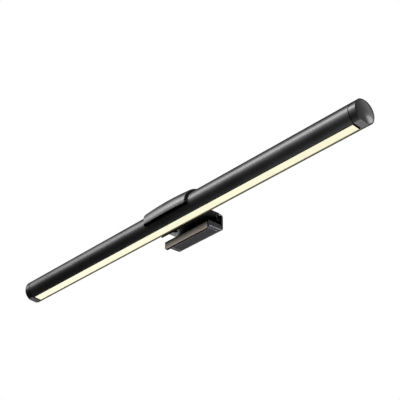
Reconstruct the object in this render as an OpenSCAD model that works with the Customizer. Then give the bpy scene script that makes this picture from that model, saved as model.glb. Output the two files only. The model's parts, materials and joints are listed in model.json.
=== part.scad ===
// Monitor light bar: a tilting LED tube in a hooded holder, with a spring jaw that grips the screen's edge.
// Origin: middle of the pad that rests on the screen's top edge. +X along the bar, -Y to the user, +Z up.

/* [Light bar] */
// Overall length of the bar with its end caps
bar_length = 450; // [300:5:600]
// Outside diameter of the aluminium tube
tube_diameter = 22.5; // [21.5:0.5:25]
// Wall of the aluminium tube
tube_wall = 1.2; // [1:0.1:1.4]
// Depth of the flat cut into the round underside
flat_cut = 1.05; // [0.9:0.05:1.2]
// Forward tilt of the light as the part is stored, in degrees
rest_tilt = 7; // [0:1:15]
// Tilt to each side of straight down, in degrees
tilt_half_angle = 20; // [15:1:22]
// Angle of each screw port from the top of the tube, in degrees
port_angle = 25; // [22:1:27]
// Wall round a screw port
port_wall = 1.2; // [1:0.1:1.4]
// Radius of the bore in a screw port
port_bore = 1.1; // [1:0.05:1.2]
// Slit that opens a screw port to the inside
port_slit = 1.2; // [1:0.1:1.4]

/* [Light source] */
// Width of the lit window in the flat
window_width = 7.6; // [6.8:0.2:8]
// Aluminium lip that holds the diffuser at each side
window_lip = 0.8; // [0.6:0.1:1]
// Thickness of the diffuser's inner flange
flange_thickness = 1; // [0.8:0.1:1.2]
// How far the flange reaches past the window at each side
flange_reach = 0.8; // [0.6:0.1:0.9]
// Thickness of the white reflector strips
reflector_thickness = 0.3; // [0.2:0.1:0.4]
// Height of the LED board above the flat
board_height = 6; // [5.6:0.2:6.6]
// Wall of the channel that holds the light source
channel_wall = 0.9; // [0.8:0.1:1]
// Width of the LED board
led_board_width = 11.4; // [10.8:0.2:11.8]
// Thickness of the LED board
led_board_thickness = 1; // [0.8:0.1:1.2]
// Distance of the LED board from each end of the tube
led_board_end = 1; // [0.5:0.5:3]
// Distance from one LED to the next
led_pitch = 9; // [6:0.5:15]
// Length of one LED chip along the bar
led_length = 3.5; // [2:0.1:5]
// Width of one LED chip
led_width = 2.8; // [2:0.1:3.4]
// Height of one LED chip
led_height = 0.7; // [0.5:0.1:0.9]

/* [End caps] */
// Length of cap that shows past the tube
cap_length = 7.6; // [6.4:0.2:12]
// Bevel round the outer rim of a cap
cap_bevel = 0.4; // [0.2:0.1:0.7]
// Rim of the cap round its cover disc
cap_rim = 0.9; // [0.8:0.1:1.2]
// Thickness of the cover disc
disc_thickness = 1; // [0.8:0.1:1.6]
// How far the cap's plug reaches into the tube
plug_length = 6; // [4:0.5:12]
// Wall of the plug
plug_wall = 1.4; // [1:0.1:1.6]
// Length of the cap screws under the head
cap_screw_length = 12; // [8:0.5:18]
// Head radius of the cap screws
cap_head_r = 1.9; // [1.7:0.1:2]
// Head height of the cap screws
cap_head_h = 1.5; // [1.2:0.1:1.8]

/* [Hood] */
// Half width of the hood at its lower front corners
hood_low_half = 27; // [25:0.5:29]
// Sweep of the hood's ends, outward from front to back, in degrees
hood_end_sweep = 34; // [25:1:36]
// Lean of the hood's ends, outward towards the top, in degrees
hood_end_rake = 5; // [0:1:10]
// Wall of the hood at the middle of its crown
hood_wall = 3.1; // [2.9:0.1:3.6]
// Radius of the long crown along the hood
crown_radius = 400; // [380:10:900]
// Half width over which the hood keeps its full section
hood_full_half = 29.5; // [28:0.1:31]
// Radius that rounds the hood down to the tube at its ends
hood_round = 9; // [8:0.5:12]
// Drop of the hood's front edge below the tube's axis
hood_front_drop = 4; // [3:0.5:5]
// Length of the touch panel along the bar
panel_length = 44; // [36:1:46]
// Width of the touch panel
panel_width = 9; // [7:0.5:10]
// Thickness of the touch panel
panel_thickness = 0.8; // [0.6:0.1:0.9]
// Thickness of the touch film under the panel
film_thickness = 0.3; // [0.2:0.05:0.35]
// Width of the film's tail
tail_width = 4; // [3:0.5:5]
// Distance of the tail from the panel's front edge
tail_inset = 0.6; // [0.4:0.1:0.8]
// Centre of the film's tail along the bar
tail_x = -11; // [-12:0.5:-10]

/* [Electronics housing] */
// Depth of the housing behind the tube
housing_depth = 14.15; // [14:0.05:14.6]
// Height of the housing above the seat plate
housing_height = 7.6; // [7.4:0.1:8.4]
// Half width of the housing's foot
foot_half = 25; // [24:0.5:26]
// Height of the foot at its edge
foot_height = 2.4; // [2:0.1:3]
// Rounding of the housing's back edge
housing_round = 2.5; // [1.5:0.5:3]
// Wall between the housing's room and its back face
housing_wall = 1.8; // [1.4:0.1:2.2]
// Wall at each side of the housing's room
housing_side = 1.4; // [1.2:0.1:1.8]
// Roof over the housing's room
housing_roof = 1.6; // [1.2:0.1:1.8]
// Wall between the tube's bore and the housing's room
room_wall = 2; // [1.6:0.1:2.1]
// Radius of the posts round the inner base screws
post_r = 2; // [1.8:0.1:2.1]
// Width of the control board
control_board_width = 28; // [26:0.5:28.5]
// Depth of the control board
control_board_depth = 8.4; // [8:0.1:8.6]
// Thickness of the control board
control_board_thickness = 1; // [0.8:0.1:1.2]
// Height of the rails under the control board
rail_height = 1.2; // [1:0.1:1.4]
// Width of the rails
rail_width = 2; // [1.5:0.1:2.5]
// Height of the connector that takes the film's tail
connector_height = 2.6; // [2.4:0.1:2.7]
// Length of the connector along the film's tail
connector_length = 3.2; // [2.6:0.1:3.6]
// Width of the USB-C shell
usb_width = 8.94; // [8.9:0.02:9]
// Height of the USB-C shell
usb_height = 3.26; // [3.2:0.02:3.3]
// Length of the USB-C shell
usb_length = 6.6; // [6.4:0.1:6.8]
// Sheet thickness of the USB-C shell
usb_sheet = 0.3; // [0.25:0.05:0.35]
// Corner radius of the USB-C shell
usb_corner = 1.2; // [1:0.1:1.4]
// Width of the USB-C contact tongue
tongue_width = 6.7; // [6.6:0.05:6.8]
// Thickness of the USB-C contact tongue
tongue_thickness = 0.7; // [0.6:0.05:0.75]

/* [Tilt stop] */
// Width of the tilt stop along the bar
stop_width = 5.2; // [4.6:0.1:5.4]
// Height of the tilt stop
stop_height = 4; // [3.6:0.1:4.2]
// How far the tilt stop reaches inside the tube's wall
stop_reach = 0.9; // [0.6:0.1:1.4]
// Flange that keeps the tilt stop from slipping through
stop_flange = 0.5; // [0.3:0.1:0.6]
// Width of the flat lead to the LEDs
lead_width = 3; // [2:0.2:3.2]
// Thickness of the flat lead
lead_thickness = 0.4; // [0.3:0.05:0.5]

/* [Friction pads] */
// Width of each friction pad along the bar
friction_width = 8; // [5:0.5:9]
// Distance of each friction pad from the middle
friction_x = 20; // [19:0.5:21]
// Thickness of the friction pads
friction_thickness = 0.9; // [0.7:0.1:1]

/* [Clip base] */
// Width of the clip
clip_width = 59; // [56:0.5:62]
// Thickness of the seat plate
plate_thickness = 1.7; // [1.6:0.1:2.2]
// Length of the seat from front to back
seat_length = 12.3; // [12:0.1:13]
// Thickness of the seat pad
seat_pad_thickness = 0.8; // [0.8:0.1:1.2]
// Wall of the lip that hugs the back of the tube
lip_wall = 1.1; // [0.9:0.1:1.4]
// How far the lip reaches down round the tube, in degrees
lip_angle = 43; // [38:1:46]
// Thickness of the lip pad
lip_pad_thickness = 0.5; // [0.4:0.1:0.7]
// Where the lip pad starts below the level of the tube's axis, in degrees
lip_pad_start_angle = 14; // [12:1:18]
// Bare lip below the lip pad, in degrees
lip_pad_margin_angle = 4; // [3:1:6]
// Distance of the inner base screws from the middle
inner_screw_x = 4.7; // [4.6:0.1:5]
// Distance of the outer base screws from the middle
outer_screw_x = 20; // [19:0.5:21]
// Distance of the base screws behind the tube
screw_setback = 5.25; // [5.15:0.05:5.35]
// Shank radius of the base screws
base_screw_r = 1; // [0.9:0.05:1.1]
// Head radius of the base screws
base_head_r = 2; // [1.8:0.1:2.1]
// Height of the domed heads of the base screws
base_head_h = 1.3; // [1.1:0.05:1.3]
// How far the heads of the base screws sink into the seat plate
base_head_sink = 0.6; // [0.6:0.05:0.8]
// How far the base screws reach into the housing
base_screw_depth = 2.8; // [2.4:0.1:3]

/* [Jaw] */
// Outside radius of the hinge knuckles
knuckle_r = 3; // [2.8:0.1:3.2]
// Radius of the hinge pin
pin_r = 1.1; // [0.9:0.05:1.2]
// Length of each knuckle on the clip base
base_knuckle = 11.5; // [9:0.5:12]
// Half width of the gap that the springs sit in
spring_half = 9.2; // [9.2:0.1:9.8]
// Clear height between the seat pad and the jaw's arm
throat_height = 8.9; // [8:0.1:12]
// Thickness of the jaw's back wall
back_wall = 2.3; // [2:0.1:2.6]
// Height of the jaw's lower arm with its cover
arm_height = 5; // [4.8:0.1:8]
// Thickness of the cover under the arm
cover_thickness = 1.2; // [1:0.1:1.6]
// Walls round the room for the weight
arm_wall = 1.2; // [1:0.1:1.6]
// Ledge that the cover lies on
cover_ledge = 0.8; // [0.6:0.1:1.2]
// Rounding of the jaw's lower back edge
heel_round = 3; // [2:0.1:3.4]
// Depth of the recess in the jaw's two ends, between its back wall and the seat plate
end_recess = 3; // [2:0.5:4]
// Depth of the slot in each end recess, down between the arm and the back wall
end_slot_depth = 1.2; // [0.8:0.1:1.6]
// Width of the slot in each end recess
end_slot_width = 1.4; // [1:0.1:1.6]
// Chamfer round the jaw's two ends
end_chamfer = 0.7; // [0.4:0.1:0.9]
// Drop of the nose plate below the arm
nose_drop = 3.4; // [2:0.1:4]
// Step from the arm's top down to the nose plate
nose_step = 0.2; // [0.2:0.1:2]
// Thickness of the nose plate
nose_plate = 1; // [0.8:0.1:1.4]
// Thickness of the grey nose pad
nose_pad_thickness = 1; // [0.8:0.1:1.6]
// Corner radius of the nose
nose_corner = 2.5; // [1.5:0.1:3]
// Rim of the nose plate round its pad
nose_rim = 0.7; // [0.5:0.1:1]
// How far the nose pad stands out of its rim
nose_pad_proud = 0.2; // [0.1:0.05:0.3]

/* [Springs] */
// Wire radius of the torsion springs
wire_r = 0.38; // [0.3:0.02:0.4]
// Middle radius of the coils
coil_r = 2.2; // [2.1:0.05:2.3]
// Whole turns in each spring
coil_turns = 5; // [3:1:5]
// Distance of the coil's inner end from the middle
coil_inner_x = 3.2; // [2.6:0.1:3.6]
// Length of the leg in the seat plate
upper_leg = 7.6; // [6:0.2:8.6]
// Length of the leg on the jaw's back wall
lower_leg = 6; // [4:0.2:7]

/* [Clearances] */
// Gap between the tube and the holder's bore
bore_gap = 0.35; // [0.3:0.05:0.4]
// Gap between the tube and the friction pads
friction_gap = 0.08; // [0.05:0.01:0.1]
// Gap round parts that are slid or laid in place
fit_gap = 0.1; // [0.08:0.02:0.12]
// Gap between faces that move past each other
swing_gap = 0.3; // [0.3:0.05:0.4]
// Radial play of the pin in the jaw
pin_play = 0.06; // [0.03:0.01:0.08]
// Radial gap of fixed pins and screws
tight_gap = 0.02; // [0.01:0.01:0.04]

/* [Hidden] */
$fn = 96;
cut = 1; // how far a cutting body reaches past the face that it opens
root = 1; // how far a joined body reaches into the one that it grows from

// Light bar, measured from the tube's axis
tube_r = tube_diameter / 2;
inner_r = tube_r - tube_wall;
flat_z = -(tube_r - flat_cut);
tube_length = bar_length - 2 * cap_length;
port_r = port_bore + port_wall;
port_sink = 0.5; // how far a port's ring sinks into the tube's wall
port_centre = inner_r - port_r + port_sink;

// Light source, measured in the tube's section
flange_width = window_width + 2 * flange_reach;
groove_width = flange_width + 2 * fit_gap;
groove_floor = flat_z + window_lip;
groove_top = groove_floor + flange_thickness + 2 * fit_gap;
chamber_width = groove_width - flange_reach;
led_board_z = flat_z + board_height;
board_slot = led_board_thickness + 2 * fit_gap;
led_board_low = led_board_z + fit_gap / 2;
board_slot_width = led_board_width + 2 * fit_gap;
board_lip = 1; // how far the channel's top edges reach in over the board
board_opening = board_slot_width - 2 * board_lip;
channel_width = board_slot_width + 2 * channel_wall;
channel_top = led_board_z + board_slot + channel_wall;
led_board_length = tube_length - 2 * led_board_end;
led_count = floor((led_board_length - led_length) / led_pitch) + 1;

// End caps
cap_head_sink = 0.4; // how far the cap screws' heads lie below the pocket's floor
cap_head_well = cap_head_h + cap_head_sink;

// Holder, measured from the tube's axis
holder_r = tube_r + bore_gap;
crown_r = holder_r + hood_wall;
crown_middle = crown_r - crown_radius;
crown_half_angle = asin(hood_full_half / crown_radius);
round_middle = (crown_radius - hood_round) * [cos(crown_half_angle), sin(crown_half_angle)];
hood_reach = round_middle[1] + hood_round;
lip_r = holder_r + lip_wall;
lip_play = 0.25; // between the lip and the seat pad
plate_bottom = -plate_thickness;
seat_bottom = plate_bottom - seat_pad_thickness;
seat_front = lip_r + lip_play;
seat_back = seat_front + seat_length;
seat_margin = 0.15; // bare plate behind the seat pad
plate_back = seat_back + seat_margin;
clip_half = clip_width / 2;

// The row's origin is the middle of the seat pad's lower face
axis_y = -(seat_front + seat_back) / 2;
axis_z = -seat_bottom;

// Electronics, measured from the tube's axis
housing_back = tube_r + housing_depth;
room_front = holder_r + room_wall;
room_back = housing_back - housing_wall;
board_side_gap = 0.6; // between the control board and the room's side walls
room_half = control_board_width / 2 + board_side_gap;
housing_half = room_half + housing_side;
room_top = housing_height - housing_roof;
foot_blend = [1, 2]; // run and rise of the slope from the foot up to the housing
slope_top_y = 0.75 * tube_r; // where the sloping top meets the hood
control_board_top = rail_height + control_board_thickness;
board_play = 0.3; // between the control board and the room's back wall
control_board_back = room_back - board_play;
control_board_front = control_board_back - control_board_depth;
rail_margin = 1; // between a rail and the room's walls
screw_row_y = tube_r + screw_setback;
screw_tip_gap = 0.2; // bore left below the tip of a screw
usb_z = control_board_top + usb_height / 2;
usb_setback = 0.2; // between the socket's mouth and the housing's back face
usb_back = housing_back - usb_setback;
tongue_setback = 0.4; // between the tongue's tip and the socket's mouth
tongue_root = 1.2; // depth of the block that carries the tongue
connector_setback = 0.2; // between the connector and the board's front edge
connector_margin = 0.4; // connector beside the film's tail
tail_z = control_board_top + connector_height + film_thickness / 2;
tail_r = holder_r + film_thickness;
tail_end = asin(tail_z / tail_r);
tail_start = acos((panel_width / 2 - tail_inset) / tail_r);
tail_play_angle = 2; // how far the tail's groove runs past its ends, in degrees
sheet_r = crown_middle + sqrt(pow(crown_radius, 2) - pow(tail_x, 2))
    - panel_thickness - (fit_gap + film_thickness) / 2;

// Tilt stop and the arc slot that it runs in
stop_z = control_board_top + lead_thickness / 2;
stop_low = stop_z - stop_height / 2;
stop_high = stop_z + stop_height / 2;
slot_margin_angle = 1; // left between the stop and the slot's ends, in degrees
slot_low = asin(stop_low / tube_r) - tilt_half_angle - slot_margin_angle;
slot_high = asin(stop_high / inner_r) + tilt_half_angle + slot_margin_angle;
slot_overcut = 0.4; // how far the slot is cut past the tube's inner face

// Friction pads and the lip pad, in degrees about the tube's axis
friction_start_angle = 61;
friction_end_angle = 179;
friction_play_angle = 1;
lip_pad_play_angle = fit_gap / lip_r * 180 / PI;
lip_pad_proud = 0.1; // how far the lip pad stands out of the lip
lip_pad_inset = 2; // bare lip beside the lip pad

// Hinge and jaw, measured from the tube's axis
knuckle_setback = 0.6; // between the plate's back edge and the knuckles
hinge_y = plate_back + knuckle_setback + knuckle_r;
hinge_z = -knuckle_r;
back_y = hinge_y + knuckle_r;
arm_top = seat_bottom - throat_height;
arm_bottom = arm_top - arm_height;
cover_top = arm_bottom + cover_thickness;
nose_setback = 0.3; // between the lip's back and the nose pad's face
nose_front = lip_r + nose_setback;
nose_rim_front = nose_front + nose_pad_proud;
nose_back = nose_front + nose_pad_thickness;
arm_front = nose_back + nose_plate;
nose_top = arm_top - nose_step;
nose_bottom = arm_bottom - nose_drop;
room_floor_y = arm_front + arm_wall + cover_ledge;
room_rear_y = back_y - heel_round - fit_gap - cover_ledge;
jaw_room_half = clip_half - end_recess - arm_wall;
weight_gap = 2 * fit_gap;
pin_cover = 1.5; // wall that closes the pin's bore at one end
pin_end = clip_half - end_recess - pin_cover;
pin_sink = 0.3; // how far the pin's other end lies below the recess's floor
groove_half = wire_r + 2 * fit_gap;
coil_play = 0.35; // between a coil and the knuckle beside it
coil_outer_x = spring_half - wire_r - coil_play;

// Everything fixed to the clip is measured from the tube's axis
module at_axis() translate([0, axis_y, axis_z]) children();

// Everything that tilts with the tube
module in_bar() at_axis() rotate([-rest_tilt, 0, 0]) children();

// A section drawn in Y and Z, pushed along X about the middle
module along_x(length) rotate([90, 0, 90]) translate([0, 0, -length / 2]) linear_extrude(length) children();

// A section drawn in Y and Z, pushed from one X to another
module from_to(x0, x1) rotate([90, 0, 90]) translate([0, 0, x0]) linear_extrude(x1 - x0) children();

// A section drawn in X and Z, pushed from one Y to another
module along_y(y0, y1) translate([0, y1, 0]) rotate([90, 0, 0]) linear_extrude(y1 - y0) children();

// A profile of radius and length, turned about the X axis
module turned() rotate([0, 90, 0]) rotate_extrude() children();

// A profile of radius and length, turned part of the way about the X axis from the back (+Y) up over the top
module turned_arc(a0, a1)
    rotate([a0 + 90, 0, 0]) rotate([0, 90, 0]) rotate_extrude(angle = a1 - a0) children();

// Part of a ring about the X axis
module ring_arc(r0, r1, a0, a1, x0, x1) turned_arc(a0, a1) translate([r0, x0]) square([r1 - r0, x1 - x0]);

// Both ends or both sides of the same thing
module both_sides() {
    children();
    mirror([1, 0, 0]) children();
}

// A flat outline and its mirror image
module both_halves() {
    children();
    mirror([1, 0]) children();
}

// Rectangle with four round corners, drawn about its middle
module round_rect(w, h, r) {
    square([w - 2 * r, h], center = true);
    square([w, h - 2 * r], center = true);
    for (x = [-1, 1], y = [-1, 1])
        translate([x * (w / 2 - r), y * (h / 2 - r)]) circle(r);
}

// The tube's outside: round, with a flat underneath, drawn smaller by inset
module bar_section(inset = 0) {
    intersection() {
        circle(tube_r - inset);
        translate([-tube_r, flat_z + inset]) square([2 * tube_r, 2 * tube_r]);
    }
}

// Where the two screw ports stand in the tube's section
module at_ports()
    for (side = [-1, 1])
        rotate(90 + side * port_angle) translate([port_centre, 0]) children();

// Outside of the channel that holds the light source: narrow below, wider where it takes the board
module led_channel() {
    narrow = groove_width / 2 + channel_wall;
    translate([-narrow, -tube_r]) square([2 * narrow, tube_r + led_board_z]);
    translate([-channel_width / 2, led_board_z - channel_wall])
        square([channel_width, channel_top - led_board_z + channel_wall]);
}

module tube_section() {
    difference() {
        bar_section();
        difference() {
            circle(inner_r);
            led_channel();
            at_ports() circle(port_r);
        }
        at_ports() {
            circle(port_bore);
            translate([-port_r - cut, -port_slit / 2]) square([port_r + cut, port_slit]);
        }
        // window, flange groove, light chamber, board slot and the opening over the board
        translate([-window_width / 2, flat_z - cut]) square([window_width, window_lip + 2 * cut]);
        translate([-groove_width / 2, groove_floor]) square([groove_width, groove_top - groove_floor]);
        translate([-chamber_width / 2, groove_floor]) square([chamber_width, led_board_z - groove_floor]);
        translate([-board_slot_width / 2, led_board_z]) square([board_slot_width, board_slot]);
        translate([-board_opening / 2, led_board_z]) square([board_opening, channel_top - led_board_z + cut]);
    }
}

module tube() {
    color("#26272a") in_bar() difference() {
        along_x(tube_length) tube_section();
        ring_arc(inner_r - slot_overcut, tube_r + cut, slot_low, slot_high,
            -stop_width / 2 - 2 * fit_gap, stop_width / 2 + 2 * fit_gap);
    }
}

module diffuser() {
    color("#fffbe6") in_bar() along_x(tube_length - 2 * fit_gap) {
        translate([-window_width / 2 + fit_gap, flat_z])
            square([window_width - 2 * fit_gap, window_lip + 2 * fit_gap]);
        translate([-flange_width / 2, groove_floor + fit_gap]) square([flange_width, flange_thickness]);
    }
}

module reflector_strips() {
    color("white") in_bar() along_x(led_board_length)
        for (side = [-1, 1])
            translate([side * (chamber_width / 2 - reflector_thickness / 2 - fit_gap / 2), 0])
                translate([-reflector_thickness / 2, groove_top + fit_gap])
                    square([reflector_thickness, led_board_z - groove_top - 2 * fit_gap]);
}

module led_board() {
    color("#eceae4") in_bar() along_x(led_board_length)
        translate([-led_board_width / 2, led_board_low]) square([led_board_width, led_board_thickness]);
}

module leds() {
    color("#ffe9a0") in_bar()
        for (i = [0 : led_count - 1])
            translate([(i - (led_count - 1) / 2) * led_pitch, 0, led_board_low - led_height / 2])
                cube([led_length, led_width, led_height], center = true);
}

// One end cap at the +X end: rim, pocket for the disc, screw wells and a plug that fits the hollow tube
module end_cap() {
    x0 = tube_length / 2;
    pocket = disc_thickness + fit_gap;
    difference() {
        union() {
            intersection() {
                from_to(x0, bar_length / 2) bar_section();
                turned() polygon([[0, x0], [tube_r, x0], [tube_r, bar_length / 2 - cap_bevel],
                    [tube_r - cap_bevel, bar_length / 2], [0, bar_length / 2]]);
            }
            from_to(x0 - plug_length, x0) difference() {
                circle(inner_r - fit_gap);
                circle(inner_r - fit_gap - plug_wall);
                translate([-tube_r, -tube_r]) square([2 * tube_r, tube_r + channel_top + fit_gap]);
                at_ports() circle(port_r + 2 * fit_gap);
            }
        }
        from_to(bar_length / 2 - pocket, bar_length / 2 + cut) bar_section(cap_rim);
        from_to(x0 - cut, bar_length / 2) at_ports() circle(port_bore + 2 * fit_gap);
        from_to(bar_length / 2 - pocket - cap_head_well, bar_length / 2)
            at_ports() circle(cap_head_r + fit_gap);
    }
}

// Cross recess for a screw head whose face lies at Z = 0
module cross_recess(r) for (a = [0, 90]) rotate(a) cube([1.4 * r, 0.3 * r, 0.6 * r], center = true);

module right_end_cap() color("#1b1c1e") in_bar() end_cap();
module left_end_cap() color("#1b1c1e") in_bar() mirror([1, 0, 0]) end_cap();

module cap_disc() {
    from_to(bar_length / 2 - disc_thickness - fit_gap / 2, bar_length / 2 - fit_gap / 2)
        bar_section(cap_rim + fit_gap);
}

module right_cap_disc() color("#3a3b3e") in_bar() cap_disc();
module left_cap_disc() color("#3a3b3e") in_bar() mirror([1, 0, 0]) cap_disc();

module cap_screws() {
    seat_x = bar_length / 2 - disc_thickness - fit_gap - cap_head_well;
    color("silver") in_bar() both_sides() difference() {
        union() {
            from_to(seat_x, seat_x + cap_head_h) at_ports() circle(cap_head_r);
            from_to(seat_x - cap_screw_length, seat_x) at_ports() circle(port_bore - tight_gap);
        }
        translate([seat_x + cap_head_h, 0, 0]) rotate([90, 0, 90]) at_ports() cross_recess(cap_head_r);
    }
}

// The hood's crowned outside as a turned body, drawn smaller by inset
module hood_body(inset = 0) {
    wedge = 2 * crown_radius * [cos(crown_half_angle), sin(crown_half_angle)];
    turned() intersection() {
        translate([crown_middle, 0]) circle(crown_radius - inset, $fn = 1440);
        translate([crown_middle, 0]) {
            polygon([[0, 0], [wedge[0], -wedge[1]], wedge]);
            for (side = [-1, 1])
                translate([round_middle[0], side * round_middle[1]]) circle(hood_round - inset);
        }
        translate([0, -hood_reach]) square([crown_r + cut, 2 * hood_reach]);
    }
}

// Upright prism with the touch panel's outline: straight sides of no more than a hair between its round ends
module panel_prism(grow = 0) {
    hair = 0.01;
    linear_extrude(crown_r + cut)
        round_rect(panel_length + 2 * grow, panel_width + 2 * grow, panel_width / 2 + grow - hair);
}

// Housing behind the tube, with a wider foot that takes the outer screws
module housing() {
    intersection() {
        along_x(2 * foot_half) {
            polygon([[0, 0], [housing_back, 0], [housing_back, housing_height - housing_round],
                [housing_back - housing_round, housing_height], [slope_top_y, tube_r], [0, tube_r]]);
            translate([housing_back - housing_round, housing_height - housing_round]) circle(housing_round);
        }
        along_y(0, housing_back) both_halves() polygon([[-root, 0], [foot_half, 0], [foot_half, foot_height],
            [housing_half + foot_blend[0], foot_height + foot_blend[1]], [housing_half, tube_r],
            [-root, tube_r]]);
    }
}

module hood() {
    size = 4 * tube_r;
    color("#2b2c2f") at_axis() difference() {
        union() {
            difference() {
                hood_body();
                // open underneath: the front edge hangs lower than the back
                along_x(2 * hood_reach) {
                    translate([-size, -size - hood_front_drop]) square([size, size]);
                    translate([0, -size]) square([size, size]);
                }
                // swept ends: the lower front corners stop short of the crown's round ends
                both_sides() translate([hood_low_half, -crown_r, -hood_front_drop])
                    rotate([0, hood_end_rake, -hood_end_sweep]) translate([0, -size, -size])
                        cube([size, 2 * size, 2 * size]);
            }
            housing();
        }
        along_x(2 * hood_reach) circle(holder_r);
        // seat for the touch panel and its film
        difference() {
            panel_prism(fit_gap);
            hood_body(panel_thickness + film_thickness + fit_gap);
        }
        // friction pads
        both_sides() ring_arc(holder_r - cut, tube_r + friction_gap + friction_thickness + tight_gap,
            friction_start_angle - friction_play_angle, friction_end_angle + friction_play_angle,
            friction_x - friction_width / 2 - fit_gap, friction_x + friction_width / 2 + fit_gap);
        // groove and passages for the film's tail
        ring_arc(holder_r - cut, tail_r + film_thickness,
            tail_end - tail_play_angle, tail_start + tail_play_angle,
            tail_x - tail_width / 2 - 2 * fit_gap, tail_x + tail_width / 2 + 2 * fit_gap);
        at_tail() rotate([tail_start, 0, 0]) translate([0, holder_r - cut, -film_thickness])
            cube([tail_width + 2 * fit_gap, crown_r - panel_thickness - holder_r + cut, 2 * film_thickness]);
        at_tail() translate([0, tube_r / 2, tail_z - film_thickness])
            cube([tail_width + 2 * fit_gap, room_front, 2 * film_thickness]);
        // room for the electronics, with posts left for the inner screws
        difference() {
            translate([-room_half, room_front, -cut])
                cube([2 * room_half, room_back - room_front, room_top + cut]);
            both_sides() translate([inner_screw_x, screw_row_y, -2 * cut])
                cylinder(r = post_r, h = room_top + 3 * cut);
        }
        both_sides() for (x = [inner_screw_x, outer_screw_x])
            translate([x, screw_row_y, -cut])
                cylinder(r = base_screw_r + tight_gap, h = base_screw_depth + screw_tip_gap + cut);
        // opening for the tilt stop and the USB-C socket
        translate([-stop_width / 2 - tight_gap, tube_r / 2, stop_low - tight_gap])
            cube([stop_width + 2 * tight_gap, room_front, stop_height + 2 * tight_gap]);
        along_y(usb_back - usb_length - fit_gap, housing_back + cut) translate([0, usb_z])
            round_rect(usb_width + 2 * fit_gap, usb_height + 2 * fit_gap, usb_corner + fit_gap);
    }
}

// Places a box so that it is centred on the film's tail, with its corner at the given Y and Z
module at_tail() translate([tail_x - tail_width / 2 - fit_gap, 0, 0]) children();

module touch_panel() {
    color("#101113") at_axis() difference() {
        intersection() {
            hood_body();
            panel_prism();
        }
        hood_body(panel_thickness);
    }
}

module touch_film() {
    x0 = tail_x - tail_width / 2;
    color("#c98a2b") at_axis() {
        difference() {
            intersection() {
                hood_body(panel_thickness + fit_gap / 2);
                panel_prism();
            }
            hood_body(panel_thickness + film_thickness + fit_gap / 2);
        }
        from_to(x0, x0 + tail_width) {
            intersection() {
                difference() {
                    circle(tail_r + film_thickness / 2);
                    circle(tail_r - film_thickness / 2);
                }
                polygon([[0, 0], for (a = [tail_end, (tail_end + tail_start) / 2, tail_start])
                    2 * tail_r * [cos(a), sin(a)]]);
            }
            rotate(tail_start) translate([tail_r, -film_thickness / 2])
                square([sheet_r - tail_r, film_thickness]);
            translate([tail_r * cos(tail_end), tail_z - film_thickness / 2])
                square([control_board_front + connector_setback + connector_length - tail_r * cos(tail_end),
                    film_thickness]);
        }
    }
}

module tilt_stop() {
    inner_end = (inner_r - stop_reach) * cos(asin(stop_high / inner_r));
    color("#d9d9d4") at_axis() difference() {
        union() {
            translate([-stop_width / 2, inner_end, stop_low])
                cube([stop_width, room_front - inner_end, stop_height]);
            translate([-stop_width / 2 - stop_flange, room_front, stop_low])
                cube([stop_width + 2 * stop_flange, stop_flange, stop_height + stop_flange]);
        }
        translate([-lead_width / 2 - 2 * fit_gap, inner_end - cut, stop_z - lead_thickness])
            cube([lead_width + 4 * fit_gap, housing_back, 2 * lead_thickness]);
    }
}

module friction_pads() {
    color("#4a4a4a") at_axis() both_sides()
        ring_arc(tube_r + friction_gap, tube_r + friction_gap + friction_thickness,
            friction_start_angle, friction_end_angle,
            friction_x - friction_width / 2, friction_x + friction_width / 2);
}

module control_board() {
    color("#1f5c3a") at_axis() difference() {
        translate([-control_board_width / 2, control_board_front, rail_height])
            cube([control_board_width, control_board_depth, control_board_thickness]);
        both_sides() translate([inner_screw_x, screw_row_y, 0])
            cylinder(r = post_r + 2 * fit_gap, h = housing_height);
    }
}

// Tail connector, driver chip, coil and capacitors on the control board
module board_parts() {
    connector = [tail_width + 2 * connector_margin, connector_length, connector_height];
    coil = [4.4, 4.4, 2.4];
    chip = [3, 3, 0.9];
    capacitor = [5, 3, 0.8];
    side_margin = 1.4;
    back_row = 5.2;
    color("#202020") at_axis() translate([0, control_board_front, control_board_top]) {
        translate([tail_x - connector[0] / 2, connector_setback, 0]) cube(connector);
        translate([control_board_width / 2 - side_margin - coil[0], connector_setback, 0]) cube(coil);
        translate([control_board_width / 2 - side_margin - chip[0], back_row, 0]) cube(chip);
        translate([side_margin - control_board_width / 2, back_row, 0]) cube(capacitor);
    }
}

module usb_shell() {
    color("silver") at_axis() along_y(usb_back - usb_length, usb_back) translate([0, usb_z]) difference() {
        round_rect(usb_width, usb_height, usb_corner);
        round_rect(usb_width - 2 * usb_sheet, usb_height - 2 * usb_sheet, usb_corner - usb_sheet);
    }
}

// The socket's insulator: a block at the root that carries the contact tongue
module usb_tongue() {
    y0 = usb_back - usb_length + fit_gap;
    play = usb_sheet + fit_gap / 2;
    color("#161616") at_axis() {
        along_y(y0, y0 + tongue_root) translate([0, usb_z])
            round_rect(usb_width - 2 * play, usb_height - 2 * play, usb_corner - play);
        along_y(y0, usb_back - tongue_setback) translate([0, usb_z])
            square([tongue_width, tongue_thickness], center = true);
    }
}

// Where a point of the tilted tube's section lies beside the fixed parts
function tilted(y, z) = [y * cos(rest_tilt) + z * sin(rest_tilt), -y * sin(rest_tilt) + z * cos(rest_tilt)];

// A strip of even thickness from point to point
module strip(points, thickness) {
    for (i = [0 : len(points) - 2]) {
        step = points[i + 1] - points[i];
        translate(points[i]) rotate(atan2(step[1], step[0])) translate([0, -thickness / 2])
            square([norm(step), thickness]);
        if (i > 0) translate(points[i]) circle(thickness / 2);
    }
}

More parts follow.
